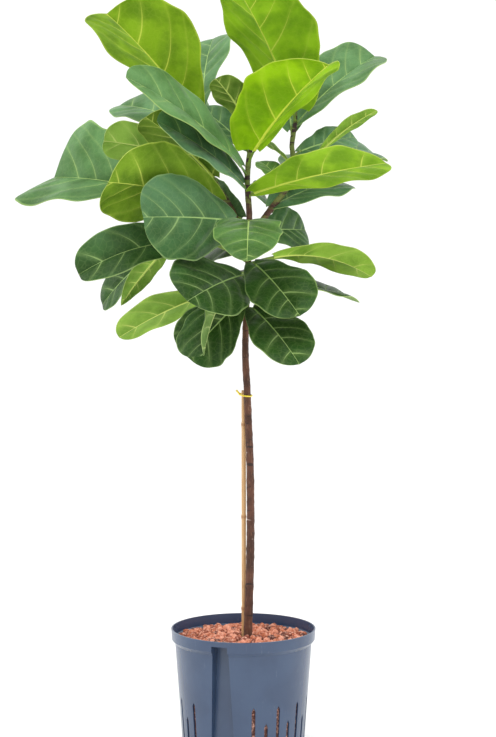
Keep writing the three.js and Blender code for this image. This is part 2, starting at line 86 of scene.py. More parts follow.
def add(material, kind, inputs=None, **settings):
    """Adds a node with its settings, and its inputs as values or as links from other sockets."""
    made = material.node_tree.nodes.new(kind)
    for name, value in settings.items():
        setattr(made, name, value)
    for name, value in (inputs or {}).items():
        if isinstance(value, bpy.types.NodeSocket):
            material.node_tree.links.new(value, made.inputs[name])
        else:
            made.inputs[name].default_value = value
    return made


def new_material(name, **constants):
    """A material with the constants on its shader's own sockets."""
    material = bpy.data.materials.new(name)
    material.use_nodes = True
    for socket, value in constants.items():
        material.node_tree.nodes["Principled BSDF"].inputs[socket.replace("_", " ")].default_value = value
    return material


def wire(material, **sources):
    """Links sockets to the shader's inputs."""
    shader = material.node_tree.nodes["Principled BSDF"]
    for socket, source in sources.items():
        material.node_tree.links.new(source, shader.inputs[socket.replace("_", " ")])


def blend_colours(material, share, first, second, mode="MIX"):
    """The colour that goes from the first to the second as the share goes from 0 to 1."""
    inputs = {0: share, 6: first, 7: second}
    return add(material, "ShaderNodeMix", inputs, data_type="RGBA", blend_type=mode).outputs[2]


def number(material, operation, *values):
    """The result of a sum on one to three numbers or sockets."""
    return add(material, "ShaderNodeMath", dict(enumerate(values)), operation=operation).outputs[0]


def ramp(material, value, low, high, start=0.0, end=1.0):
    """A value eased from start to end while it goes from low to high."""
    inputs = {"Value": value, "From Min": low, "From Max": high, "To Min": start, "To Max": end}
    eased = add(material, "ShaderNodeMapRange", inputs, interpolation_type="SMOOTHSTEP")
    return eased.outputs["Result"]


def object_place(material):
    """The spot on the piece, in metres, by which its patterns are laid."""
    return add(material, "ShaderNodeTexCoord").outputs["Object"]


def stretched(material, place, *scale):
    """The same spot on scaled axes: a pattern comes out longer along those with less than 1."""
    return add(material, "ShaderNodeMapping", {"Vector": place, "Scale": scale}).outputs[0]


def mottle(material, place, size, detail, **more):
    """A noise from 0 to 1, with spots of about a size in metres."""
    inputs = {"Vector": place, "Scale": 1 / size, "Detail": detail, **more}
    return add(material, "ShaderNodeTexNoise", inputs).outputs["Fac"]


def mesh_value(material, name):
    """A number that the piece's mesh holds at each vertex."""
    return add(material, "ShaderNodeAttribute", attribute_name=name).outputs["Fac"]


def bumped(material, height, distance, strength):
    """The surface's normal, bent by a height that stands for up to distance metres."""
    inputs = {"Height": height, "Distance": distance, "Strength": strength}
    return add(material, "ShaderNodeBump", inputs).outputs[0]


def new_mesh(name, bm):
    """The mesh that a bmesh holds. The bmesh is freed."""
    mesh = bpy.data.meshes.new(name)
    bm.to_mesh(mesh)
    bm.free()
    return mesh


def new_object(name, data):
    """An object of the scene with a mesh, a light or a camera as its data."""
    made = bpy.data.objects.new(name, data)
    bpy.context.scene.collection.objects.link(made)
    return made


def shade_smooth(bm):
    """Lets the light run on smoothly from face to face."""
    for f in bm.faces:
        f.smooth = True


def flat_grid(columns, rows):
    """A flat grid, with functions that give its vertices and faces by column and row."""
    bm = bmesh.new()
    bmesh.ops.create_grid(bm, x_segments=columns, y_segments=rows, size=1, calc_uvs=False)
    bm.verts.ensure_lookup_table()
    bm.faces.ensure_lookup_table()
    return bm, lambda k, i: bm.verts[i * (columns + 1) + k], lambda k, i: bm.faces[i * columns + k]


def hand_over(name, bm, node, slot, *materials):
    """Makes a bmesh in millimetres the piece that stands for a CAD node."""
    bmesh.ops.scale(bm, vec=(MM, MM, MM), verts=bm.verts)
    piece = new_object(name, new_mesh(name, bm))
    for material in materials:
        piece.data.materials.append(material)
    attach(piece, "root")
    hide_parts(node)
    return piece


def groove_half(z):
    """Half the groove's width at a height of the wall."""
    share = (z + GROOVE_BACK * math.tan(GROOVE_LEAN)) / BAND_FOOT
    return GROOVE_HALF_FOOT + (GROOVE_HALF_TOP - GROOVE_HALF_FOOT) * share


def wall_spot(column, radius, z):
    """Where an upright line of the wall crosses a height, with +Y through the groove's middle."""
    kind, value = column
    if kind == "wall":
        return Vector((radius * math.sin(value), radius * math.cos(value), z))
    x = value * (groove_half(z) - (GROOVE_DRAFT if kind == "back" else 0))
    y = math.sqrt(radius * radius - x * x)
    if kind == "back" and z <= GROOVE_TOP:
        y = min(y, GROOVE_BACK + z * math.tan(GROOVE_LEAN))
    return Vector((x, y, z))


pot_columns = [("edge", -1)] + [("back", share) for share in BACK_COLUMNS] + [("edge", 1)]
pot_columns += [("wall", math.radians(turn)) for turn in BESIDE_GROOVE]
slot_columns = []
slot_pitch = (SLOT_LAST - SLOT_FIRST) / (SLOT_COUNT - 1)
slot_half = math.degrees(SLOT_WIDTH / 2 / SLOT_RADIUS)
for i in range(SLOT_COUNT):
    middle = SLOT_FIRST + i * slot_pitch
    slot_columns.append(len(pot_columns) + 1)
    turns = [middle - slot_half, middle, middle + slot_half]
    if i < SLOT_COUNT - 1:
        gap = slot_pitch - 2 * slot_half
        turns += [middle + slot_half + gap * k / BETWEEN_SLOTS for k in range(1, BETWEEN_SLOTS)]
    pot_columns += [("wall", math.radians(turn)) for turn in turns]
pot_columns += [("wall", math.radians(360 - turn)) for turn in reversed(BESIDE_GROOVE)]
pot_columns.append(("edge", -1))

pot_rows = [(radius, 0) for radius in FLOOR_RADII]
pot_rows += [(FOOT_RADIUS - FOOT_CHAMFER, 0), (FOOT_RADIUS, FOOT_CHAMFER)]
for z in sorted((*WALL_ROWS, SLOT_FOOT, *SLOT_STRAIGHTS, SLOPE_FOOT)):
    share = (z - FOOT_CHAMFER) / (SLOPE_FOOT - FOOT_CHAMFER)
    pot_rows.append((FOOT_RADIUS + (BODY_RADIUS - FOOT_RADIUS) * share, z))
pot_rows += [(BAND_RADIUS, SLOPE_FOOT + SLOPE_HEIGHT), *BAND_ROWS, (RIM_RADIUS, POT_HEIGHT)]

bm, vert, face = flat_grid(len(pot_columns) - 1, len(pot_rows) - 1)
for i, (radius, z) in enumerate(pot_rows):
    for k, column in enumerate(pot_columns):
        if radius in FLOOR_RADII:
            outer = wall_spot(column, FOOT_RADIUS - FOOT_CHAMFER, 0)
            vert(k, i).co = outer * (radius / (FOOT_RADIUS - FOOT_CHAMFER))
        else:
            vert(k, i).co = wall_spot(column, radius, z)
row_at = {z: i for i, (_, z) in enumerate(pot_rows)}
cut_out = []
for i, k in enumerate(slot_columns):
    straight = SLOT_STRAIGHTS[i % 2]
    for row in range(row_at[SLOT_FOOT], row_at[straight]):
        cut_out += [face(k - 1, row), face(k, row)]
    vert(k, row_at[straight]).co.z += SLOT_POINT
bmesh.ops.delete(bm, geom=cut_out, context="FACES")
bmesh.ops.remove_doubles(bm, verts=bm.verts, dist=0.01)
bmesh.ops.reverse_faces(bm, faces=bm.faces)
bmesh.ops.rotate(bm, matrix=Matrix.Rotation(math.radians(GROOVE_TURN - 90), 3, "Z"), verts=bm.verts)
shade_smooth(bm)

# Polypropylene, moulded in a finely eroded tool: an even satin blue-grey, a little cloudy where the
# melt flowed, with a grain of about 1 mm and pale dust in upright streaks.
polypropylene = new_material("moulded_polypropylene", IOR=1.58, Roughness=0.27)
place = object_place(polypropylene)
cloud = ramp(polypropylene, mottle(polypropylene, place, 0.07, 3), 0.35, 0.65)
body = blend_colours(polypropylene, cloud, linear("#2b3e5b"), linear("#324663"))
upright = stretched(polypropylene, place, 1, 1, 0.12)
scuff = mottle(polypropylene, upright, 0.004, 6, Roughness=0.7)
dust = ramp(polypropylene, scuff, 0.62, 0.8, 0, 0.35)
body = blend_colours(polypropylene, dust, body, linear("#7f8b9d"))
grain = mottle(polypropylene, place, 0.0012, 2)
wire(polypropylene, Base_Color=body, Normal=bumped(polypropylene, grain, 0.00006, 0.6))

pot = hand_over("pot_moulded", bm, "pot", "pot_plastic", polypropylene)
thickness = pot.modifiers.new("wall", "SOLIDIFY")
thickness.thickness = POT_WALL * MM
thickness.offset = -1
rounding = pot.modifiers.new("edges", "BEVEL")
rounding.width = EDGE_ROUNDING * MM
rounding.segments = 2
rounding.limit_method = "ANGLE"
rounding.angle_limit = math.radians(30)
rounding.harden_normals = True

# ---------------------------------------------------------------- pebbles
# Expanded clay for water culture: fired balls 7 to 12 mm across, terracotta outside with a matte,
# pitted crust. They fill the pot to 15 mm under the rim and show in every slot of the wall.
FILL_LEVEL = 173
FILL_FOOT = 3.6
FILL_SHOULDER = 165
FILL_TOP = 168
FILL_ROUND = 64
FOOT_ROOM = 0.6
SHOULDER_ROOM = 1.6
GROOVE_NEAR = 5
GROOVE_ROOM = 1
PEBBLE_SMALL = 3.6
PEBBLE_LARGE = 6.2
PEBBLE_DENT = 0.34
DENT_PITCH = 1.1
PEBBLE_SQUASH = (0.82, 1.1)
# The pebbles of the top lie in a spiral, those at the slots in stacks. STRAY is in radians; REACH is
# how many of its radii a dented pebble keeps from the plastic.
TOP_PEBBLES = 560
TOP_STRAY = 0.1
TOP_REACH = 1.15
TOP_GROOVE_REACH = 1.1
SUNK = 0.3
HEAP = 4
UNEVEN = (-2.5, 3)
STEM_FOOT = Vector((6.8, 0))
STEM_ROOM = 6
CANE_SPOT = Vector((0.6, 9))
CANE_ROOM = 3
SLOT_PEBBLES = 11
SLOT_LOWEST = SLOT_FOOT - 4
SLOT_LARGE = PEBBLE_LARGE - 1
SLOT_STRAY = 0.02
SLOT_REACH = 1.25
SLOT_ROOM = 0.4
SLOT_STACK = (1.5, 2.1)
clay_random = Random(7)
groove_turned = Matrix.Rotation(math.radians(90 - GROOVE_TURN), 3, "Z")


def in_groove(x, y, z, room):
    """Whether a spot lies nearer than room to the wall of the pot's groove."""
    turned = groove_turned @ Vector((x, y, z))
    back = GROOVE_BACK + z * math.tan(GROOVE_LEAN)
    return z < GROOVE_TOP + room and abs(turned.x) < groove_half(z) + room and turned.y > back - room


def inside_radius(z):
    """The radius of the pot's inside at a height of its wall or of the slope under its band."""
    share = min(1, (z - FOOT_CHAMFER) / (SLOPE_FOOT - FOOT_CHAMFER))
    climb = min(1, max(0, (z - SLOPE_FOOT) / SLOPE_HEIGHT))
    outside = FOOT_RADIUS + (BODY_RADIUS - FOOT_RADIUS) * share + (BAND_RADIUS - BODY_RADIUS) * climb
    return outside - POT_WALL


bm = bmesh.new()
profile = [(0, FILL_FOOT), (inside_radius(FILL_FOOT) - FOOT_ROOM, FILL_FOOT)]
profile += [(inside_radius(FILL_SHOULDER) - SHOULDER_ROOM, FILL_SHOULDER), (0, FILL_TOP)]
bottom = [bm.verts.new((radius, 0, z)) for radius, z in profile]
outline = [bm.edges.new(pair) for pair in zip(bottom, bottom[1:])]
turning = {"axis": (0, 0, 1), "cent": (0, 0, 0), "angle": 2 * math.pi, "steps": FILL_ROUND}
bmesh.ops.spin(bm, geom=bottom + outline, use_merge=True, **turning)
bmesh.ops.remove_doubles(bm, verts=bm.verts, dist=0.01)
bmesh.ops.recalc_face_normals(bm, faces=bm.faces)
for v in bm.verts:
    if in_groove(*v.co, POT_WALL + GROOVE_NEAR):
        spot = groove_turned @ v.co
        spot.y = min(spot.y, GROOVE_BACK + spot.z * math.tan(GROOVE_LEAN) - POT_WALL - GROOVE_ROOM)
        v.co = groove_turned.transposed() @ spot
filling = new_mesh("filling", bm)
bm = bmesh.new()
bmesh.ops.create_icosphere(bm, subdivisions=2, radius=1)
round_ball = new_mesh("round_ball", bm)
bm = bmesh.new()
bm.from_mesh(filling)
tone = bm.verts.layers.float.new("tone")


def drop_pebble(x, y, z, radius):
    """One fired ball: a copy of the round one, squashed and dented, with its own shade."""
    bm.from_mesh(round_ball)
    bm.verts.ensure_lookup_table()
    shade = clay_random.random()
    away = Vector([clay_random.uniform(0, 90) for _ in range(3)])
    squash = Vector([clay_random.uniform(*PEBBLE_SQUASH) for _ in range(3)])
    for i in range(1, len(round_ball.vertices) + 1):
        v = bm.verts[-i]
        dent = 1 + PEBBLE_DENT * noise.noise(v.co * DENT_PITCH + away)
        v.co = v.co * squash * dent * radius + Vector((x, y, z))
        v[tone] = shade


room = BAND_RADIUS - POT_WALL - PEBBLE_SMALL
golden_turn = math.pi * (3 - math.sqrt(5))
for i in range(TOP_PEBBLES):
    share = math.sqrt((i + 0.5) / TOP_PEBBLES)
    turn = i * golden_turn + clay_random.uniform(-TOP_STRAY, TOP_STRAY)
    radius = clay_random.uniform(PEBBLE_SMALL, PEBBLE_LARGE)
    z = FILL_LEVEL - radius * SUNK + HEAP * (1 - share) + clay_random.uniform(*UNEVEN)
    out = min(room * share, inside_radius(z - radius * 0.8) - TOP_REACH * radius)
    spot = Vector((out * math.cos(turn), out * math.sin(turn)))
    off_stem = (spot - STEM_FOOT).length > STEM_ROOM + radius
    off_cane = (spot - CANE_SPOT).length > CANE_ROOM + radius
    if off_stem and off_cane and not in_groove(*spot, z, POT_WALL + TOP_GROOVE_REACH * radius):
        drop_pebble(*spot, z, radius)
for i in range(SLOT_COUNT):
    turn = math.radians(GROOVE_TURN - SLOT_FIRST - i * slot_pitch)
    z = SLOT_LOWEST
    for _ in range(SLOT_PEBBLES):
        radius = clay_random.uniform(PEBBLE_SMALL, SLOT_LARGE)
        out = inside_radius(z) - radius * SLOT_REACH - SLOT_ROOM
        stray = turn + clay_random.uniform(-SLOT_STRAY, SLOT_STRAY)
        drop_pebble(out * math.cos(stray), out * math.sin(stray), z, radius)
        z += radius * clay_random.uniform(*SLOT_STACK)
shade_smooth(bm)

# Fired clay: matte terracotta from salmon to brick, each ball its own shade, paler on its crust,
# with pits under 1 mm that are drawn 1.5 mm wide here so that they show.
fired_clay = new_material("fired_clay", IOR=1.5, Roughness=0.93)
place = object_place(fired_clay)
shade = mesh_value(fired_clay, "tone")
crust = mottle(fired_clay, place, 0.003, 5)
clay = blend_colours(fired_clay, ramp(fired_clay, shade, 0.1, 0.6), linear("#7c3a27"), linear("#bb6a49"))
clay = blend_colours(fired_clay, ramp(fired_clay, shade, 0.6, 1.0), clay, linear("#dc957b"))
clay = blend_colours(fired_clay, ramp(fired_clay, shade, 0.13, 0.08), clay, linear("#54302b"))
clay = blend_colours(fired_clay, ramp(fired_clay, crust, 0.45, 0.75), clay, linear("#e8b29c"))
clay = blend_colours(fired_clay, ramp(fired_clay, crust, 0.42, 0.25), clay, linear("#7c4436"))
pits = add(fired_clay, "ShaderNodeTexVoronoi", {"Vector": place, "Scale": 1 / 0.0015}).outputs["Distance"]
wire(fired_clay, Base_Color=clay, Normal=bumped(fired_clay, pits, 0.0006, 0.7))
hand_over("pebbles_fired", bm, "pebbles", "clay_pebbles", fired_clay)

# ---------------------------------------------------------------- stem
# The woody stem, rooted in the pebbles: a bare trunk with two side shoots in the crown, one grown
# piece. Its thin bark swells in rings where leaves were shed, and the tips end in pointed buds.
SHOOTS = {
    "trunk": {
        "line": [
            (6, 0, 95), (7, 0, 183), (10.5, 0, 300), (10.5, 0, 425), (6, 0, 545), (3, 0, 613),
            (5, 0, 689), (8, 0, 764), (9, 0, 816), (6, 0, 869), (9, 0, 905), (14, 0, 930),
        ],
        "radius": (6.8, 4),
    },
    "left": {
        "line": [
            (7, 0, 768), (-14, 22, 818), (-44, 42, 868), (-60, 48, 888), (-68, 52, 915), (-66, 55, 945),
            (-60, 57, 976),
        ],
        "radius": (5, 3.3),
    },
    "right": {
        "line": [
            (9, 0, 782), (40, 18, 824), (70, 38, 866), (76, 45, 900), (74, 50, 925), (78, 52, 950),
            (82, 54, 980),
        ],
        "radius": (5, 3.3),
    },
}
RING_STEP = 2.5
CURVE_STEPS = 24
STEM_SIDES = 20
BUD_LENGTH = 24
BUD_TIP = 0.15
SCAR_PITCH = 21
SCAR_SWELL = 0.07
SCAR_HALF_RINGS = 1.1
BARK_RIDGE = 0.35
RIDGE_SIZES = (2.6, 2.6, 26)
BARK_BUMP = 0.3
BUMP_SIZE = 7


def even_points(line, step):
    """Points a step apart along the smooth (centripetal) curve through a line's points."""
    knots = [Vector(spot) for spot in line]
    knots = [2 * knots[0] - knots[1]] + knots + [2 * knots[-1] - knots[-2]]
    fine = []
    for before, start, end, after in zip(knots, knots[1:], knots[2:], knots[3:]):
        d0, d1, d2 = ((b - a).length ** 0.5 for a, b in ((before, start), (start, end), (end, after)))
        leave = ((start - before) / d0 - (end - before) / (d0 + d1) + (end - start) / d1) * d1
        arrive = ((end - start) / d1 - (after - start) / (d1 + d2) + (after - end) / d2) * d1
        for t in (k / CURVE_STEPS for k in range(CURVE_STEPS)):
            bend = (3 * (end - start) - 2 * leave - arrive) * t * t
            bend += (2 * (start - end) + leave + arrive) * t**3
            fine.append(start + leave * t + bend)
    fine.append(knots[-2])
    lengths = [0]
    for a, b in zip(fine, fine[1:]):
        lengths.append(lengths[-1] + (b - a).length)
    count = round(lengths[-1] / step)
    points, k = [], 0
    for i in range(count + 1):
        want = lengths[-1] * i / count
        while k < len(fine) - 2 and lengths[k + 1] < want:
            k += 1
        points.append(fine[k].lerp(fine[k + 1], (want - lengths[k]) / (lengths[k + 1] - lengths[k])))
    return points


def rod(points, radii, sides):
    """A closed round bar: a flat grid rolled up ring by ring along the points, its ends filled."""
    bm, vert, _ = flat_grid(sides, len(points) - 1)
    for i, point in enumerate(points):
        along = (points[min(i + 1, len(points) - 1)] - points[max(i - 1, 0)]).normalized()
        turn = Vector((0, 0, 1)).rotation_difference(along)
        for k in range(sides + 1):
            angle = 2 * math.pi * k / sides
            vert(k, i).co = point + turn @ Vector((math.cos(angle), math.sin(angle), 0)) * radii[i]
    bmesh.ops.remove_doubles(bm, verts=bm.verts, dist=0.001)
    shade_smooth(bm)
    bmesh.ops.holes_fill(bm, edges=bm.edges, sides=sides)
    bmesh.ops.recalc_face_normals(bm, faces=bm.faces)
    return bm


def shoot_radius(name, share, length):
    """A shoot's radius at a share of its length: it thins out, and its bud comes to a point."""
    thick, thin = SHOOTS[name]["radius"]
    bud = min(1, BUD_TIP + (1 - BUD_TIP) * (1 - share) * length / BUD_LENGTH)
    return (thick + (thin - thick) * share) * bud


shoot_points = {name: even_points(shoot["line"], RING_STEP) for name, shoot in SHOOTS.items()}
scar_random = Random(11)
shoots = []
for name, points in shoot_points.items():
    rings = len(points) - 1
    scar_step = SCAR_PITCH / RING_STEP
    scars = [scar_step * (k + scar_random.uniform(0.2, 0.8)) for k in range(int(len(points) / scar_step))]
    radii = []
    for i in range(rings + 1):
        swell = sum(math.exp(-(((i - scar) / SCAR_HALF_RINGS) ** 2)) for scar in scars)
        radii.append(shoot_radius(name, i / rings, rings * RING_STEP) * (1 + SCAR_SWELL * swell))
    bm = rod(points, radii, STEM_SIDES)
    bmesh.ops.scale(bm, vec=(MM, MM, MM), verts=bm.verts)
    shoots.append(new_object(name + "_shoot", new_mesh(name + "_shoot", bm)))
for side_shoot in shoots[1:]:
    join = shoots[0].modifiers.new("join", "BOOLEAN")
    join.operation = "UNION"
    join.solver = "EXACT"
    join.object = side_shoot
joined = bpy.data.meshes.new_from_object(shoots[0].evaluated_get(bpy.context.evaluated_depsgraph_get()))
bm = bmesh.new()
bm.from_mesh(joined)
bmesh.ops.scale(bm, vec=(1 / MM, 1 / MM, 1 / MM), verts=bm.verts)
bm.normal_update()
for v in bm.verts:
    ridge = noise.noise(Vector([c / size for c, size in zip(v.co, RIDGE_SIZES)]))
    bump = noise.noise(v.co / BUMP_SIZE)
    v.co += v.normal * (BARK_RIDGE * ridge + BARK_BUMP * bump)
for shoot in shoots:
    bpy.data.objects.remove(shoot)

# Young fig bark: thin, dull dark brown, cracked lengthwise in paler lines, with dark cross scars and
# pale flecks about 6 mm wide; the last year's growth in the crown is still green under brown scales.
bark = new_material("fig_bark", IOR=1.5, Roughness=0.8)
place = object_place(bark)
height = add(bark, "ShaderNodeSeparateXYZ", {0: place}).outputs["Z"]
cracks = mottle(bark, stretched(bark, place, 1, 1, 0.1), 0.0014, 6)
scales = mottle(bark, stretched(bark, place, 0.25, 0.25, 1), 0.006, 5)
blotch = mottle(bark, place, 0.022, 4)
wood = blend_colours(bark, ramp(bark, blotch, 0.35, 0.65), linear("#3e2317"), linear("#5b3727"))
wood = blend_colours(bark, ramp(bark, cracks, 0.55, 0.72, 0, 0.6), wood, linear("#86604a"))
wood = blend_colours(bark, ramp(bark, scales, 0.66, 0.74, 0, 0.8), wood, linear("#cfbcb0"))
wood = blend_colours(bark, ramp(bark, scales, 0.38, 0.31, 0, 0.85), wood, linear("#211513"))
green = blend_colours(bark, ramp(bark, scales, 0.48, 0.56), linear("#5e6b2c"), linear("#2c1a15"))
patch = number(bark, "ADD", height, number(bark, "MULTIPLY", blotch, 0.12))
wood = blend_colours(bark, ramp(bark, patch, 0.86, 0.93), wood, green)
relief = number(bark, "ADD", cracks, scales)
wire(bark, Base_Color=wood, Normal=bumped(bark, relief, 0.0009, 0.8))
hand_over("stem_barked", bm, "stem", "bark", bark)

# ---------------------------------------------------------------- cane
# A bamboo cane pushed into the pebbles just behind the trunk's left side: straight, straw-tan, with a
# raised joint every 140 mm and a plainly sawn top.
CANE_FOOT = Vector((0.6, 9.4, 30))
CANE_HEAD = Vector((0.6, 7.9, 552))
CANE_RADIUS = 3.5
CANE_KNOTS = (0.36, 0.63, 0.9)
KNOT_RISE = 0.7
KNOT_WIDTH = 0.006
KNOT_WAIST = 0.25
CANE_STEPS = 260
CANE_SIDES = 20

shares = [i / CANE_STEPS for i in range(CANE_STEPS + 1)]
radii = []
for share in shares:
    knot = sum(math.exp(-(((share - at) / KNOT_WIDTH) ** 2)) for at in CANE_KNOTS)
    waist = sum(math.exp(-(((share - at - 2 * KNOT_WIDTH) / KNOT_WIDTH) ** 2)) for at in CANE_KNOTS)
    radii.append(CANE_RADIUS + KNOT_RISE * knot - KNOT_WAIST * waist)
bm = rod([CANE_FOOT.lerp(CANE_HEAD, share) for share in shares], radii, CANE_SIDES)

# Bamboo: a hard, smooth straw-coloured skin with fine lengthwise fibres, browned at the joints.
bamboo = new_material("bamboo_cane", IOR=1.5, Roughness=0.45)
place = object_place(bamboo)
height = add(bamboo, "ShaderNodeSeparateXYZ", {0: place}).outputs["Z"]
fibres = mottle(bamboo, stretched(bamboo, place, 1, 1, 0.03), 0.0009, 4)
straw = blend_colours(bamboo, ramp(bamboo, fibres, 0.3, 0.7), linear("#b0834f"), linear("#cda87a"))
stain_share = ramp(bamboo, mottle(bamboo, place, 0.03, 4), 0.58, 0.75, 0, 0.5)
straw = blend_colours(bamboo, stain_share, straw, linear("#996b3d"))
for at in CANE_KNOTS:
    middle = (CANE_FOOT.z + at * (CANE_HEAD.z - CANE_FOOT.z)) * MM
    away = number(bamboo, "ABSOLUTE", number(bamboo, "SUBTRACT", height, middle))
    straw = blend_colours(bamboo, ramp(bamboo, away, 0.0035, 0.001, 0, 0.6), straw, linear("#8a5a34"))
wire(bamboo, Base_Color=straw, Normal=bumped(bamboo, fibres, 0.0002, 0.5))
hand_over("cane_bamboo", bm, "cane", "bamboo", bamboo)

# ---------------------------------------------------------------- tie
# A garden tie: one loop of soft yellow PVC-coated wire round trunk and cane, drawn snug, with its
# two ends twisted together at the left.
TIE_HEIGHT = 545
TIE_THICK = 2.4
TIE_CLEAR = 1.1
TIE_SLACK = 0.8
TIE_SLOPE = 1.5
TIE_STEPS = 96
TIE_SIDES = 12
TAIL_TURN = 200
TAIL_LIFT = 50
TAIL_LONG = 9
TAIL_TWISTS = 2
TAIL_RADIUS = 0.85
TAIL_SNUG = 0.95

trunk = shoot_points["trunk"]
rings = len(trunk) - 1
near = min(range(rings + 1), key=lambda i: abs(trunk[i].z - TIE_HEIGHT))
trunk_spot = trunk[near]
trunk_radius = shoot_radius("trunk", near / rings, rings * RING_STEP)
cane_spot = CANE_FOOT.lerp(CANE_HEAD, (TIE_HEIGHT - CANE_FOOT.z) / (CANE_HEAD.z - CANE_FOOT.z))
across = (cane_spot - trunk_spot).to_2d()
long_half = (across.length + trunk_radius + CANE_RADIUS) / 2 + TIE_CLEAR + TIE_THICK / 2
wide_half = trunk_radius + TIE_CLEAR + TIE_THICK / 2 + TIE_SLACK
bm, vert, face = flat_grid(TIE_STEPS, TIE_SIDES)
turned = Matrix.Rotation(across.angle_signed(Vector((1, 0))), 4, "Z")
lay = Matrix.Translation((trunk_spot + cane_spot) / 2) @ turned


def loop_spot(angle, out, rise):
    """A spot of the loop, out from the middle of its wire and above it."""
    x, y = (long_half + out) * math.cos(angle), (wide_half + out) * math.sin(angle)
    return lay @ Vector((x, y, rise + TIE_SLOPE * math.cos(angle)))


for i in range(TIE_STEPS + 1):
    for k in range(TIE_SIDES + 1):
        angle = math.tau * k / TIE_SIDES
        out, rise = TIE_THICK / 2 * math.cos(angle), TIE_THICK / 2 * math.sin(angle)
        vert(i, k).co = loop_spot(math.tau * i / TIE_STEPS, out, rise)
bmesh.ops.remove_doubles(bm, verts=bm.verts, dist=0.01)
bmesh.ops.recalc_face_normals(bm, faces=bm.faces)
shade_smooth(bm)
tail_start = loop_spot(math.radians(TAIL_TURN) - math.atan2(across.y, across.x), 0, 0)
turn, lift = math.radians(TAIL_TURN), math.radians(TAIL_LIFT)
tail_way = Vector((math.cos(lift) * math.cos(turn), math.cos(lift) * math.sin(turn), math.sin(lift)))
tail_side = tail_way.orthogonal().normalized()
for first in (0, math.pi):
    wire_line = []
    for i in range(TIE_STEPS + 1):
        share = i / TIE_STEPS
        around = Matrix.Rotation(first + math.tau * TAIL_TWISTS * share, 3, tail_way) @ tail_side
        wire_line.append(tail_start + tail_way * TAIL_LONG * share + around * TAIL_RADIUS * TAIL_SNUG)
    tail = rod(wire_line, [TAIL_RADIUS] * len(wire_line), TIE_SIDES)
    bm.from_mesh(new_mesh("tie_tail", tail))

# Soft PVC over wire: clear yellow with a low gloss, greyed a little where it has been handled.
soft_pvc = new_material("soft_pvc", IOR=1.53, Roughness=0.42)
soiled = ramp(soft_pvc, mottle(soft_pvc, object_place(soft_pvc), 0.004, 3), 0.5, 0.8)
wire(soft_pvc, Base_Color=blend_colours(soft_pvc, soiled, linear("#ecd23c"), linear("#b8a54a")))
hand_over("tie_wire_loop", bm, "tie", "tie_wire", soft_pvc)

# ---------------------------------------------------------------- leaves
# Each leaf is one grown piece: a round stalk that leaves the stem at a joint and runs on as the
# midrib of a leathery, fiddle-shaped blade with waved edges. The blade is quilted between its side
# veins, which lie sunk in the upper face and stand out underneath.
# In millimetres:
BLADE_THICK = 0.8
RIB_DEPTH = 2.4
RIB_WIDTH = 1.7
QUILT_RISE = 2.5
QUILT_FULL_WIDTH = 120
CRUMPLE_RISE = 0.8
CRUMPLE_SIZE = 15
FLAT_AT_RIB = 8
STALK_FROM = 3
STALK_RADIUS = 2.3
# As shares of the blade's length, but DEPTH and ROUGH of its half width:
FOOT_SHARE = 0.03
WAIST_AT = 0.3
WAIST_HALF = 0.12
WAIST_DEPTH = 0.1
LOBE_LENGTH = 0.05
LOBE_HALF = 0.12
SHOULDER_HALF = 0.25
CURL_FROM = 0.55
FLAT_AT_TIP = 0.125
TANGENT_STEP = 0.01
EDGE_ROUGH = 0.06
STALK_END = 0.05
# As shares of the stalk's length, but THIN and SWELL of its radius; its steepest lift in degrees:
STALK_BEND = 0.45
STALK_SWELL_HALF = 0.1
STALK_THIN = 0.62
STALK_SWELL = 0.45
STALK_STEEPEST = 75
# How many waves, lumps and veins lie along a half of the blade, and how unlike the halves are:
EDGE_WAVES = 2.6
HALVES_APART = 0.25
EDGE_LUMPS = 8
SIDE_VEINS = 4.6
VEIN_OFFSET = 0.4
VEIN_LEAN = 0.6
VEIN_BEND = 0.008
VEIN_UNEVEN = 0.2
VEIN_SWAY = 1.7
# How fine the grids are, and how their lines and the quilt's bulges are spread:
BLADE_ROWS = 72
ROW_POWER = 0.85
ROW_EVENNESS = 0.45
BLADE_COLUMNS = 40
COLUMN_POWER = 1.3
QUILT_POWER = 0.7
STALK_STEPS = 14
STALK_SIDES = 12
PLAIN_LEAF = {
    "fold": 14, "arch": 0.05, "cup": -0.1, "wave": 0.05, "phase": 0, "curl": 0, "skew": 0,
    "notch": 0, "belly": 0.8, "taper": 0.45, "stalk_turn": None, "stalk_rise": 25, "painted_crown_shade": 0,
}
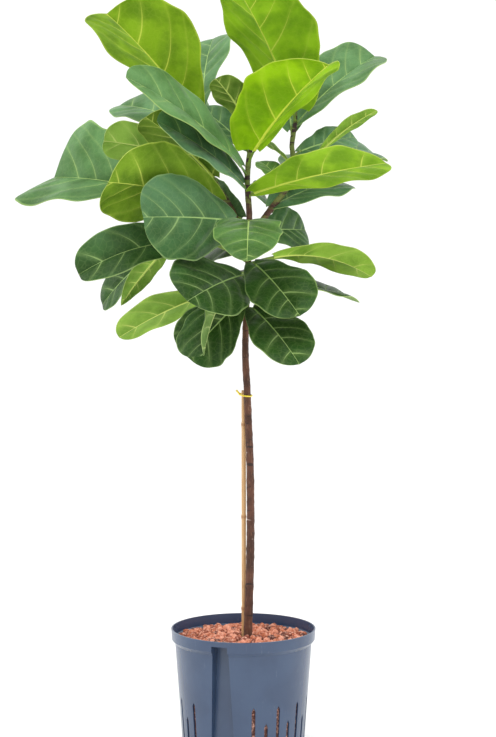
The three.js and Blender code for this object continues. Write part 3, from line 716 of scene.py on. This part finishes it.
# Shoot, height of the joint, turn and lift of the blade, stalk, length, width, roll, age from 0 for
# a fresh leaf to 1 for a full-grown one, and what differs from a plain leaf. Some leaves are
# darkened towards olive as painted shade, where they lie in the shade of others inside the crown.
LEAVES = {
    "left_leaf_1": (
        "left", 944, 224, 39, 24, 222, 174, 14, 0.1,
        {"fold": 25, "belly": 0.95, "notch": 0.05, "painted_crown_shade": 0.3},
    ),
    "left_leaf_2": ("left", 962, 84, 44, 20, 176, 88, -22, 0.8, {"belly": 1.2}),
    "left_leaf_3": ("left", 952, 110, 38, 16, 100, 62, 30, 0.6, {}),
    "left_leaf_4": ("left", 940, 139, 15, 20, 163, 100, -28, 0.8, {}),
    "left_leaf_5": (
        "left", 890, 184, 12, 18, 140, 76, 50, 0.6,
        {"phase": 0.3, "belly": 1.2, "notch": 0.04},
    ),
    "left_leaf_6": ("left", 858, 212, 36, 20, 144, 96, 28, 0.35, {"painted_crown_shade": 0.5}),
    "left_leaf_7": (
        "left", 816, 222, 7, 34, 208, 144, 52, 0.25,
        {"fold": 15, "stalk_turn": 210, "painted_crown_shade": 0.4},
    ),
    "left_leaf_8": (
        "left", 858, 146, 8, 92, 212, 180, -54, 0.7,
        {"fold": 30, "taper": 0.18, "belly": 0.9, "skew": -0.1, "stalk_turn": 172, "stalk_rise": -12},
    ),
    "left_leaf_9": ("left", 880, 96, 28, 30, 145, 90, 0, 0.8, {}),
    "right_leaf_1": ("right", 958, 240, 44, 22, 222, 156, 3, 0.1, {"fold": 28, "belly": 0.55}),
    "right_leaf_2": (
        "right", 944, 32, 37, 18, 180, 126, 20, 0.75,
        {"fold": 22, "taper": 0.3, "skew": -0.06},
    ),
    "right_leaf_3": ("right", 900, 330, 31, 50, 108, 34, -18, 0.4, {"phase": 0.4, "stalk_rise": -14}),
    "right_leaf_4": ("right", 905, 35, 14, 14, 112, 54, 48, 0.9, {}),
    "right_leaf_5": ("right", 890, 136, 30, 8, 62, 38, 30, 0.5, {}),
    "right_leaf_6": ("right", 892, 40, 4, 18, 164, 104, 26, 0.9, {"arch": 0.1}),
    "right_leaf_7": ("right", 855, 134, 37, 8, 64, 42, -12, 0.5, {}),
    "right_leaf_8": ("right", 822, 44, 15, 12, 158, 112, 20, 0.9, {}),
    "right_leaf_9": ("right", 930, 95, 34, 22, 150, 90, 0, 0.8, {}),
    "right_leaf_10": ("right", 862, 72, 14, 24, 160, 92, 0, 0.8, {}),
    "trunk_leaf_1": (
        "trunk", 888, 309, 34, 27, 202, 142, -11, 0,
        {"fold": 38, "belly": 0.6, "taper": 0.62, "skew": -0.08},
    ),
    "trunk_leaf_2": ("trunk", 922, 206, 50, 38, 76, 60, 30, 0.5, {"painted_crown_shade": 0.45}),
    "trunk_leaf_3": ("trunk", 872, 220, 29, 21, 242, 108, -49, 0.7, {"fold": 18}),
    "trunk_leaf_4": ("trunk", 849, 217, 29, 17, 176, 98, -51, 0.95, {"fold": 18}),
    "trunk_leaf_5": ("trunk", 842, 324, 9, 14, 232, 112, -22, 0.15, {"arch": 0.025}),
    "trunk_leaf_6": ("trunk", 839, 75, -12, 22, 118, 72, 53, 0.9, {"stalk_rise": 46}),
    "trunk_leaf_7": (
        "trunk", 798, 269, -22, 44, 161, 104, 0, 0.6,
        {"fold": 8, "belly": 0.35, "taper": 0.6, "stalk_rise": 34},
    ),
    "trunk_leaf_8": ("trunk", 793, 218, 1, 32, 164, 132, -74, 0.9, {"fold": 6, "notch": 0.06}),
    "trunk_leaf_9": ("trunk", 780, 40, 2, 26, 90, 76, 62, 0.9, {}),
    "trunk_leaf_10": (
        "trunk", 764, 203, -13, 74, 196, 84, -52, 0.8,
        {"fold": 26, "arch": 0.06, "curl": 0.1, "taper": 0.36, "stalk_turn": 174, "stalk_rise": 28},
    ),
    "trunk_leaf_11": (
        "trunk", 742, 32, -8, 40, 184, 76, -25, 0.4,
        {"arch": 0.08, "curl": 0.03, "belly": 0.6, "taper": 0.38, "stalk_turn": 8},
    ),
    "trunk_leaf_12": (
        "trunk", 752, 166, -50, 134, 104, 38, 60, 0.5,
        {"fold": 20, "curl": 0.06, "belly": 0.5, "taper": 0.8, "stalk_turn": 168, "stalk_rise": 54},
    ),
    "trunk_leaf_13": ("trunk", 738, 299, -29, 18, 156, 100, 23, 0.75, {"stalk_rise": 50}),
    "trunk_leaf_14": ("trunk", 716, 237, -14, 18, 146, 126, -39, 0.85, {"stalk_rise": 45, "taper": 0.38}),
    "trunk_leaf_15": (
        "trunk", 746, 152, -40, 158, 130, 62, -60, 0.9,
        {"taper": 0.34, "stalk_turn": 154, "stalk_rise": 46},
    ),
    "trunk_leaf_16": ("trunk", 696, 37, -8, 36, 170, 95, 17, 0.8, {"stalk_turn": 20, "stalk_rise": 30}),
    "trunk_leaf_17": ("trunk", 696, 168, -24, 34, 184, 84, 30, 0.45, {"stalk_turn": 165, "stalk_rise": 40}),
    "trunk_leaf_18": (
        "trunk", 688, 248, -48, 41, 127, 102, 42, 0.85,
        {"fold": 40, "taper": 0.36, "stalk_turn": 217, "stalk_rise": 72},
    ),
    "trunk_leaf_19": (
        "trunk", 684, 190, -46, 16, 116, 94, -76, 0.8,
        {"fold": 10, "taper": 0.38, "stalk_turn": 232, "stalk_rise": 62},
    ),
    "trunk_leaf_20": ("trunk", 669, 300, -30, 20, 156, 88, 18, 0.75, {"stalk_rise": 55}),
    "trunk_leaf_21": ("trunk", 904, 158, 40, 14, 94, 54, -40, 0.9, {}),
    "trunk_leaf_22": ("trunk", 705, 75, -14, 30, 165, 100, 0, 0.85, {}),
    "trunk_leaf_23": ("trunk", 722, 104, -10, 34, 150, 96, 0, 0.85, {}),
    "trunk_leaf_24": ("trunk", 752, 112, 1, 34, 150, 92, -56, 0.9, {"painted_crown_shade": 0.6}),
    "trunk_leaf_25": ("trunk", 796, 132, 14, 24, 140, 92, -50, 0.9, {"painted_crown_shade": 0.6}),
}


def direction(turn, lift):
    """A direction from a compass turn and a lift above the horizontal, in degrees."""
    turn, lift = math.radians(turn), math.radians(lift)
    return Vector((math.cos(lift) * math.cos(turn), math.cos(lift) * math.sin(turn), math.sin(lift)))


def blade_outline(share, belly, taper):
    """Half the blade's width at a share of its length, as a share of its greatest half width."""
    def rise(s):
        return s**belly * (1 - s) ** taper

    waist = 1 - WAIST_DEPTH * math.exp(-(((share - WAIST_AT) / WAIST_HALF) ** 2))
    return rise(FOOT_SHARE + (1 - FOOT_SHARE) * share) / rise(belly / (belly + taper)) * waist


def vein_count(along, aside, side, pitch, seed):
    """How many side veins of that half a spot of the blade has passed; whole numbers lie on one."""
    count = (along - VEIN_LEAN * aside - VEIN_BEND * aside**2) / pitch + VEIN_OFFSET * (side > 0)
    return count + VEIN_UNEVEN * math.sin(VEIN_SWAY * count + seed + side)


def joint_on(shoot, height):
    """The spot on a shoot's centre line at a height."""
    points = shoot_points[shoot]
    above = next(i for i, spot in enumerate(points) if spot.z >= height)
    low, high = points[above - 1], points[above]
    return low.lerp(high, (height - low.z) / (high.z - low.z))


def blade_spot(leaf, share, sign, far, half, long, wide, seed):
    """How far a spot lies from the midrib: along the blade, sideways and upward."""
    size = half * (1 + EDGE_ROUGH * far**3 * noise.noise(Vector((share * EDGE_LUMPS, sign, seed))))
    swing = math.sin(math.tau * (EDGE_WAVES * share + leaf["phase"] + HALVES_APART * sign))
    edge = (leaf["cup"] + leaf["wave"] * swing) * far**2
    lobe = LOBE_LENGTH * long * far**2 * math.exp(-((share / LOBE_HALF) ** 2))
    shoulder = leaf["notch"] * far * math.exp(-(((1 - share) / SHOULDER_HALF) ** 2))
    drawn = long * (leaf["skew"] * sign * far + shoulder) * half / (wide / 2)
    flat, steep = math.cos(math.radians(leaf["fold"])), math.sin(math.radians(leaf["fold"]))
    return drawn - lobe, size * sign * (far * flat - edge * steep), size * (far * steep + edge * flat)


def quilt_rise(share, sign, far, aside, long, wide, seed):
    """How far the blade bulges between its veins. It lies flat at the midrib, the edge and the tip."""
    count = vein_count(share * long, aside, sign, long / SIDE_VEINS, seed)
    hump = abs(math.sin(math.pi * count)) ** QUILT_POWER
    crumple = noise.noise(Vector((share * long / CRUMPLE_SIZE, sign * aside / CRUMPLE_SIZE, seed)))
    fade = min(1, aside / FLAT_AT_RIB) * (1 - far**6) * min(1, (1 - share) / FLAT_AT_TIP)
    return fade * min(1, wide / QUILT_FULL_WIDTH) * (QUILT_RISE * hump + CRUMPLE_RISE * crumple)


def upper_blade(leaf, rib, bow, long, wide, age, seed):
    """The blade's upper face: a grid with rows from foot to tip and columns from edge to edge."""
    bm, vert, _ = flat_grid(BLADE_COLUMNS, BLADE_ROWS)
    titles = ("reach", "age", "pitch", "depth", "painted_crown_shade")
    layers = {title: bm.verts.layers.float.new(title) for title in titles}
    bm.verts.ensure_lookup_table()
    pitch = long / SIDE_VEINS
    drawn_flat, rise = {}, {}
    for i in range(BLADE_ROWS + 1):
        even = (i / BLADE_ROWS) ** ROW_POWER
        share = ROW_EVENNESS * even + (1 - ROW_EVENNESS) / 2 * (1 - math.cos(math.pi * even))
        tangent = rib(min(share + TANGENT_STEP, 1)) - rib(max(share - TANGENT_STEP, 0))
        tangent.normalize()
        up = (bow - tangent * bow.dot(tangent)).normalized()
        out = tangent.cross(up)
        half = wide / 2 * blade_outline(share, leaf["belly"], leaf["taper"]) if i < BLADE_ROWS else 0
        for k in range(BLADE_COLUMNS + 1):
            even = 2 * k / BLADE_COLUMNS - 1
            sign = (even > 0) - (even < 0)
            far = abs(even) ** COLUMN_POWER
            aside = far * half
            onward, sideways, upward = blade_spot(leaf, share, sign, far, half, long, wide, seed)
            v = vert(k, i)
            v.co = rib(share) + tangent * onward + out * sideways + up * upward
            rise[i, k] = quilt_rise(share, sign, far, aside, long, wide, seed)
            drawn_flat[i, k] = Vector((sign * aside, share * long))
            depth = BLADE_THICK + RIB_DEPTH * (1 - share) * math.exp(-((aside / RIB_WIDTH) ** 2))
            values = (far, age, pitch * MM, depth, leaf["painted_crown_shade"])
            for title, value in zip(titles, values):
                v[layers[title]] = value
    veins = bm.loops.layers.uv.new("veins")
    laid_flat = bm.loops.layers.uv.new("flat")
    bm.verts.index_update()
    bm.faces.ensure_lookup_table()
    for f in bm.faces:
        side = 1 if f.index % BLADE_COLUMNS >= BLADE_COLUMNS / 2 else -1
        for loop in f.loops:
            spot = drawn_flat[divmod(loop.vert.index, BLADE_COLUMNS + 1)]
            loop[veins].uv = (spot.x * MM, vein_count(spot.y, abs(spot.x), side, pitch, seed))
            loop[laid_flat].uv = spot * MM
    shade_smooth(bm)
    bm.normal_update()
    for v, normal in [(v, v.normal.copy()) for v in bm.verts]:
        v.co += normal * (rise[divmod(v.index, BLADE_COLUMNS + 1)] + BLADE_THICK / 2)
    bmesh.ops.remove_doubles(bm, verts=bm.verts, dist=0.001)
    return bm


def close_blade(bm):
    """Adds a copy of the upper face as the underside, and the margin that joins their edges."""
    depth = bm.verts.layers.float["depth"]
    below = bmesh.ops.duplicate(bm, geom=bm.verts[:] + bm.edges[:] + bm.faces[:])["geom"]
    bm.normal_update()
    for v in [part for part in below if isinstance(part, bmesh.types.BMVert)]:
        v.co -= v.normal * v[depth]
    underside = [part for part in below if isinstance(part, bmesh.types.BMFace)]
    bmesh.ops.reverse_faces(bm, faces=underside)
    for f in underside:
        f.material_index = 1
    border = [e for e in bm.edges if e.is_boundary]
    for f in bmesh.ops.bridge_loops(bm, edges=border)["faces"]:
        f.material_index = 2
        f.smooth = True
    for e in border:
        e.smooth = False


def leaf_stalk(name, joint, base, end, stalk):
    """The round stalk: it swells at its joint, and bends to run on into the blade up to its end."""
    bend = base - (end - base).normalized() * stalk * STALK_BEND
    start = joint + (bend - joint).normalized() * STALK_FROM
    line, radii = [], []
    for t in (i / STALK_STEPS for i in range(STALK_STEPS + 1)):
        line.append(start.lerp(bend, t).lerp(bend.lerp(end, t), t))
        swell = STALK_SWELL * math.exp(-((t / STALK_SWELL_HALF) ** 2))
        radii.append(STALK_RADIUS * (STALK_THIN + (1 - STALK_THIN) * (1 - t) + swell))
    bar = rod(line, radii, STALK_SIDES)
    for f in bar.faces:
        f.material_index = 3
    return new_mesh(name + "_stalk", bar)


def grow_leaf(name, shoot, height, turn, lift, stalk, long, wide, roll, age, changes):
    """One leaf: the blade round its midrib, and the stalk."""
    leaf = {**PLAIN_LEAF, **changes}
    joint = joint_on(shoot, height)
    stalk_turn = turn if leaf["stalk_turn"] is None else leaf["stalk_turn"]
    base = joint + direction(stalk_turn, min(lift + leaf["stalk_rise"], STALK_STEEPEST)) * stalk
    along = direction(turn, lift)
    upper = (Vector((0, 0, 1)) - along * along.z).normalized()
    bow = upper * math.cos(math.radians(roll)) + along.cross(upper) * math.sin(math.radians(roll))

    def rib(share):
        hang = leaf["curl"] * long * max(0, (share - CURL_FROM) / (1 - CURL_FROM)) ** 2
        return base + along * share * long + bow * (leaf["arch"] * 4 * share * (1 - share) * long - hang)

    bm = upper_blade(leaf, rib, bow, long, wide, age, sum(map(ord, name)))
    close_blade(bm)
    bm.from_mesh(leaf_stalk(name, joint, base, rib(STALK_END), stalk))
    return bm


def vein_shares(skin, reach, pitch, flat):
    """How much a spot has of a side vein, of the pale strip beside it that is a painted highlight of the
    puckered blade, and of the midrib.
    """
    veins = add(skin, "ShaderNodeUVMap", uv_map="veins").outputs["UV"]
    veins = add(skin, "ShaderNodeSeparateXYZ", {0: veins})
    turn = number(skin, "FRACT", number(skin, "ADD", veins.outputs["Y"], 0.5))
    from_vein = number(skin, "ABSOLUTE", number(skin, "SUBTRACT", turn, 0.5))
    from_vein = number(skin, "MULTIPLY", number(skin, "MULTIPLY", from_vein, pitch), VEIN_SLANT)
    vein_half = ramp(skin, reach, 0, 1, SIDE_VEIN_HALF, SIDE_VEIN_HALF / 3)
    side_vein = ramp(skin, number(skin, "DIVIDE", from_vein, vein_half), 1.4, 0.3)
    side_vein = number(skin, "MULTIPLY", side_vein, ramp(skin, reach, 0.95, 0.15))
    # Painted highlight: the blade is paled beside each side vein as light catching its puckering there.
    painted_pucker_light = ramp(skin, from_vein, 0.006, 0, 0, 0.1)

    from_rib = number(skin, "ABSOLUTE", veins.outputs["X"])
    to_tip = add(skin, "ShaderNodeSeparateXYZ", {0: flat}).outputs["Y"]
    to_tip = number(skin, "DIVIDE", to_tip, number(skin, "MULTIPLY", pitch, SIDE_VEINS))
    rib_half = ramp(skin, to_tip, 0, 1, MIDRIB_HALF, MIDRIB_HALF / 4)
    midrib = ramp(skin, number(skin, "DIVIDE", from_rib, rib_half), 1.3, 0.6)
    return side_vein, painted_pucker_light, midrib


def finest_veins(skin, flat):
    """How much a spot has of the net of the finest veins, whose cells are crooked."""
    wander = {"Vector": flat, "Scale": 1 / 0.02, "Detail": 1.0}
    wander = add(skin, "ShaderNodeTexNoise", wander).outputs["Color"]
    bent = add(skin, "ShaderNodeVectorMath", {0: wander, "Scale": 0.008}, operation="SCALE").outputs[0]
    bent = add(skin, "ShaderNodeVectorMath", {0: flat, 1: bent}, operation="ADD").outputs[0]
    cells = {"Vector": bent, "Scale": 1 / NET_CELL}
    cells = add(skin, "ShaderNodeTexVoronoi", cells, feature="DISTANCE_TO_EDGE")
    return ramp(skin, cells.outputs["Distance"], 0.09, 0.01)


def leaf_skin(name, fresh, grown, painted_low_shade, vein_fresh, vein_grown, relief, **constants):
    """One face of the blade: green between pale veins, and relief that is sunk where it is below 0."""
    skin = new_material(name, **constants)
    flat = add(skin, "ShaderNodeUVMap", uv_map="flat").outputs["UV"]
    place = object_place(skin)
    reach, age, pitch, painted_crown_shade = (mesh_value(skin, title) for title in ("reach", "age", "pitch", "painted_crown_shade"))
    side_vein, painted_pucker_light, midrib = vein_shares(skin, reach, pitch, flat)
    net = finest_veins(skin, flat)
    fine = mottle(skin, flat, 0.005, 4)

    green = blend_colours(skin, age, linear(fresh), linear(grown))
    height = add(skin, "ShaderNodeSeparateXYZ", {0: place}).outputs["Z"]
    # Painted shade: grown leaves darken towards the third green the lower they hang in the crown, as shade
    # under the leaves above.
    low = ramp(skin, height, PAINTED_SHADE_TOP, PAINTED_SHADE_FULL)
    low = number(skin, "MULTIPLY", low, ramp(skin, age, 0.3, 0.75))
    green = blend_colours(skin, low, green, linear(painted_low_shade))
    # Painted shade: a leaf that lies in the shade of others inside the crown is darkened towards olive.
    green = blend_colours(skin, painted_crown_shade, green, linear(PAINTED_CROWN_SHADE_OLIVE))
    shade = blend_colours(skin, 1.0, green, linear("#b9c8b4"), "MULTIPLY")
    green = blend_colours(skin, ramp(skin, mottle(skin, place, 0.05, 3), 0.35, 0.65), shade, green)
    pale = blend_colours(skin, age, linear(vein_fresh), linear(vein_grown))
    pale_shares = (
        number(skin, "MULTIPLY", fine, 0.08),
        number(skin, "MULTIPLY", net, 0.05),
        painted_pucker_light,
        ramp(skin, reach, 0.955, 0.99, 0, 0.35),
        number(skin, "MULTIPLY", side_vein, ramp(skin, age, 0, 1, 0.75, 0.42)),
        number(skin, "MULTIPLY", midrib, ramp(skin, age, 0, 1, 1, 0.8)),
    )
    for share in pale_shares:
        green = blend_colours(skin, share, green, pale)

    height = number(skin, "MULTIPLY", number(skin, "MAXIMUM", side_vein, midrib), relief)
    height = number(skin, "MULTIPLY_ADD", net, relief * 0.2, height)
    height = number(skin, "MULTIPLY_ADD", fine, 0.4, height)
    wire(skin, Base_Color=green, Normal=bumped(skin, height, 0.0007, 0.7))
    return skin


# The upper face: a thick, waxy cuticle over deep green, so it mirrors the studio softly at low
# angles; fresh leaves are yellow-green. The cells of the finest veins are about 9 mm across. The
# greens are those of a fresh leaf, a grown one that is paler and bluer as a painted sheen of the
# studio's reflection, and one darker as painted shade low in the crown, then the veins' own.
VEIN_SLANT = 0.8
SIDE_VEIN_HALF = 0.0009
MIDRIB_HALF = 0.0016
NET_CELL = 0.009
# Painted shade: between these heights in metres grown leaves darken towards the third green, and fully
# below the lower one.
PAINTED_SHADE_FULL = 0.69
PAINTED_SHADE_TOP = 0.92
# The olive that leaves inside the crown darken towards, as painted shade.
PAINTED_CROWN_SHADE_OLIVE = "#1d2e00"
WAX = {"IOR": 1.45, "Specular IOR Level": 0.14, "Roughness": 0.38}
WAX.update({"Sheen Weight": 0.04, "Sheen Roughness": 0.4})
UPPER_GREENS = ("#67961c", "#52795b", "#17420a", "#bcd068", "#a3c47e")
upper_face = leaf_skin("leaf_upper_face", *UPPER_GREENS, -1.0, **WAX)
# The underside: no wax, so it is matte, and a lighter, yellower green with raised veins. Its fresh
# green is brightened as a painted glow of light shining through the leaf, and its third green is
# painted shade low in the crown.
MATTE = {"IOR": 1.45, "Specular IOR Level": 0.12, "Roughness": 0.6}
UNDER_GREENS = ("#92c208", "#84a35c", "#6f9048", "#d2e04e", "#bdcf8c")
underside_face = leaf_skin("leaf_underside", *UNDER_GREENS, 1.0, **MATTE)
# The margin: a thin, translucent, yellowish seam right round the blade.
margin = new_material("leaf_margin", IOR=1.45, Roughness=0.5)
age = mesh_value(margin, "age")
wire(margin, Base_Color=blend_colours(margin, age, linear("#a2b53a"), linear("#8fa866")))
# The stalk: smooth green skin with brown flecks.
stalk_skin = new_material("leaf_stalk", IOR=1.45, Roughness=0.5)
fleck = ramp(stalk_skin, mottle(stalk_skin, object_place(stalk_skin), 0.004, 4), 0.52, 0.72)
wire(stalk_skin, Base_Color=blend_colours(stalk_skin, fleck, linear("#6f8a2c"), linear("#664f30")))

for name, row in LEAVES.items():
    bm = grow_leaf(name, *row)
    hand_over(name + "_veined", bm, name, "leaf", upper_face, underside_face, margin, stalk_skin)

# ---------------------------------------------------------------- studio
# A white paper floor, one large soft light from above, weaker ones from both sides and white
# surroundings, and a camera with a long lens level with the crown.
CAMERA_PLACE = (0.00701, -2.6, 0.74265)
CAMERA_PITCH = 3.46
CAMERA_LENS = 84.23
CAMERA_SENSOR = 36
FLOOR_RADIUS = 4.0
FLOOR_SIDES = 96
WORLD_STRENGTH = 1.1

bm = bmesh.new()
bmesh.ops.create_circle(bm, cap_ends=True, segments=FLOOR_SIDES, radius=FLOOR_RADIUS)
floor = new_object("floor", new_mesh("floor", bm))
paper = new_material("matte_paper", IOR=1.5, Roughness=0.95)
pulp = mottle(paper, object_place(paper), 0.4, 2)
wire(paper, Base_Color=blend_colours(paper, pulp, linear("#f4f4f3"), linear("#f9f9f8")))
floor.data.materials.append(paper)

world = bpy.data.worlds.new("white_surroundings")
world.use_nodes = True
background = world.node_tree.nodes["Background"]
background.inputs["Color"].default_value = (1.0, 1.0, 1.0, 1.0)
background.inputs["Strength"].default_value = WORLD_STRENGTH
bpy.context.scene.world = world

# Each light's place, the spot it points at, its side and its power.
LIGHTS = {
    "key": ((-0.4, -1.4, 3.0), (0, 0, 0.8), 2.8, 52),
    "left": ((-2.6, 0.5, 1.2), (0, 0, 0.4), 2.2, 18),
    "right": ((2.6, 0.3, 1.2), (0, 0, 0.4), 2.2, 24),
}
for name, (spot, target, size, power) in LIGHTS.items():
    lamp = bpy.data.lights.new(name, "AREA")
    lamp.size = size
    lamp.energy = power
    light = new_object(name, lamp)
    light.location = spot
    light.rotation_euler = (Vector(target) - Vector(spot)).to_track_quat("-Z", "Y").to_euler()

lens = bpy.data.cameras.new("camera")
lens.lens = CAMERA_LENS
lens.sensor_width = CAMERA_SENSOR
camera = new_object("camera", lens)
camera.location = CAMERA_PLACE
camera.rotation_euler = (math.radians(90 - CAMERA_PITCH), 0, 0)
bpy.context.scene.camera = camera
bpy.context.scene.view_settings.view_transform = "Standard"
